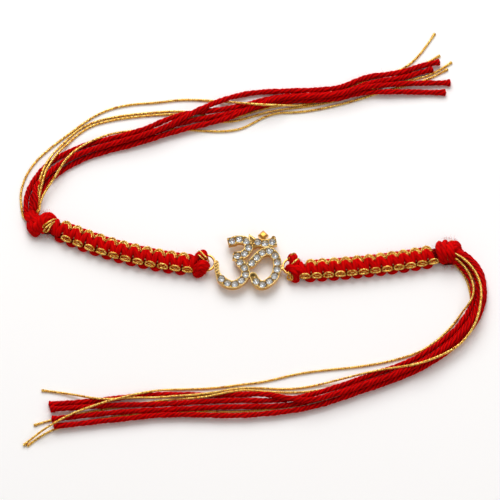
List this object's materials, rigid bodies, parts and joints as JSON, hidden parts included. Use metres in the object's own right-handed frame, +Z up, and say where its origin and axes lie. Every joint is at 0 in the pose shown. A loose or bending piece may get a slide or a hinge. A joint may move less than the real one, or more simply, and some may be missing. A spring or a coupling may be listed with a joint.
{
  "type": "rakhi thread bracelet",
  "caption": "Rakhi thread bracelet: a stone-set Om pendant on rings between two knotted red and gold bands, each ending in a loose bundle of tying strands.",
  "frame": {"origin": "on the table plane, below the middle of the bands and pendant, strands left out", "axes": "+X along the bracelet towards the right hand band, +Y away from the viewer across it, +Z up from the table, out of the pendant's stone side"},
  "size_m": [0.1262, 0.1225, 0.004],
  "materials": {
    "gold_metal": "polished, gold coloured plating",
    "clear_stone": "clear, cut, foiled behind",
    "red_cotton": "twisted cotton yarn, slightly fuzzy",
    "gold_thread": "metallic wrapped thread, glittering"
  },
  "bodies": {
    "root": {"om_frame": "gold_metal", "stone_01": "clear_stone", "stone_02": "clear_stone", "stone_03": "clear_stone", "stone_04": "clear_stone", "stone_05": "clear_stone", "stone_06": "clear_stone", "stone_07": "clear_stone", "stone_08": "clear_stone", "stone_09": "clear_stone", "stone_10": "clear_stone", "stone_11": "clear_stone", "stone_12": "clear_stone", "stone_13": "clear_stone", "stone_14": "clear_stone", "stone_15": "clear_stone", "stone_16": "clear_stone", "stone_17": "clear_stone", "stone_18": "clear_stone", "stone_19": "clear_stone", "stone_20": "clear_stone", "stone_21": "clear_stone", "stone_22": "clear_stone", "stone_23": "clear_stone", "stone_24": "clear_stone", "stone_25": "clear_stone", "stone_26": "clear_stone", "stone_27": "clear_stone", "left_band": "red_cotton", "right_band": "red_cotton", "left_ring_hitch": "red_cotton", "right_ring_hitch": "red_cotton", "left_end_knot": "red_cotton", "right_end_knot": "red_cotton", "left_red_cord_1": "red_cotton", "left_red_cord_2": "red_cotton", "left_red_cord_3": "red_cotton", "left_red_cord_4": "red_cotton", "left_gold_cord_1": "gold_thread", "left_gold_cord_2": "gold_thread", "left_gold_cord_3": "gold_thread", "left_gold_cord_4": "gold_thread", "right_red_cord_1": "red_cotton", "right_red_cord_2": "red_cotton", "right_red_cord_3": "red_cotton", "right_red_cord_4": "red_cotton", "right_gold_cord_1": "gold_thread", "right_gold_cord_2": "gold_thread", "right_gold_cord_3": "gold_thread", "right_gold_cord_4": "gold_thread"}
  },
  "joints": []
}
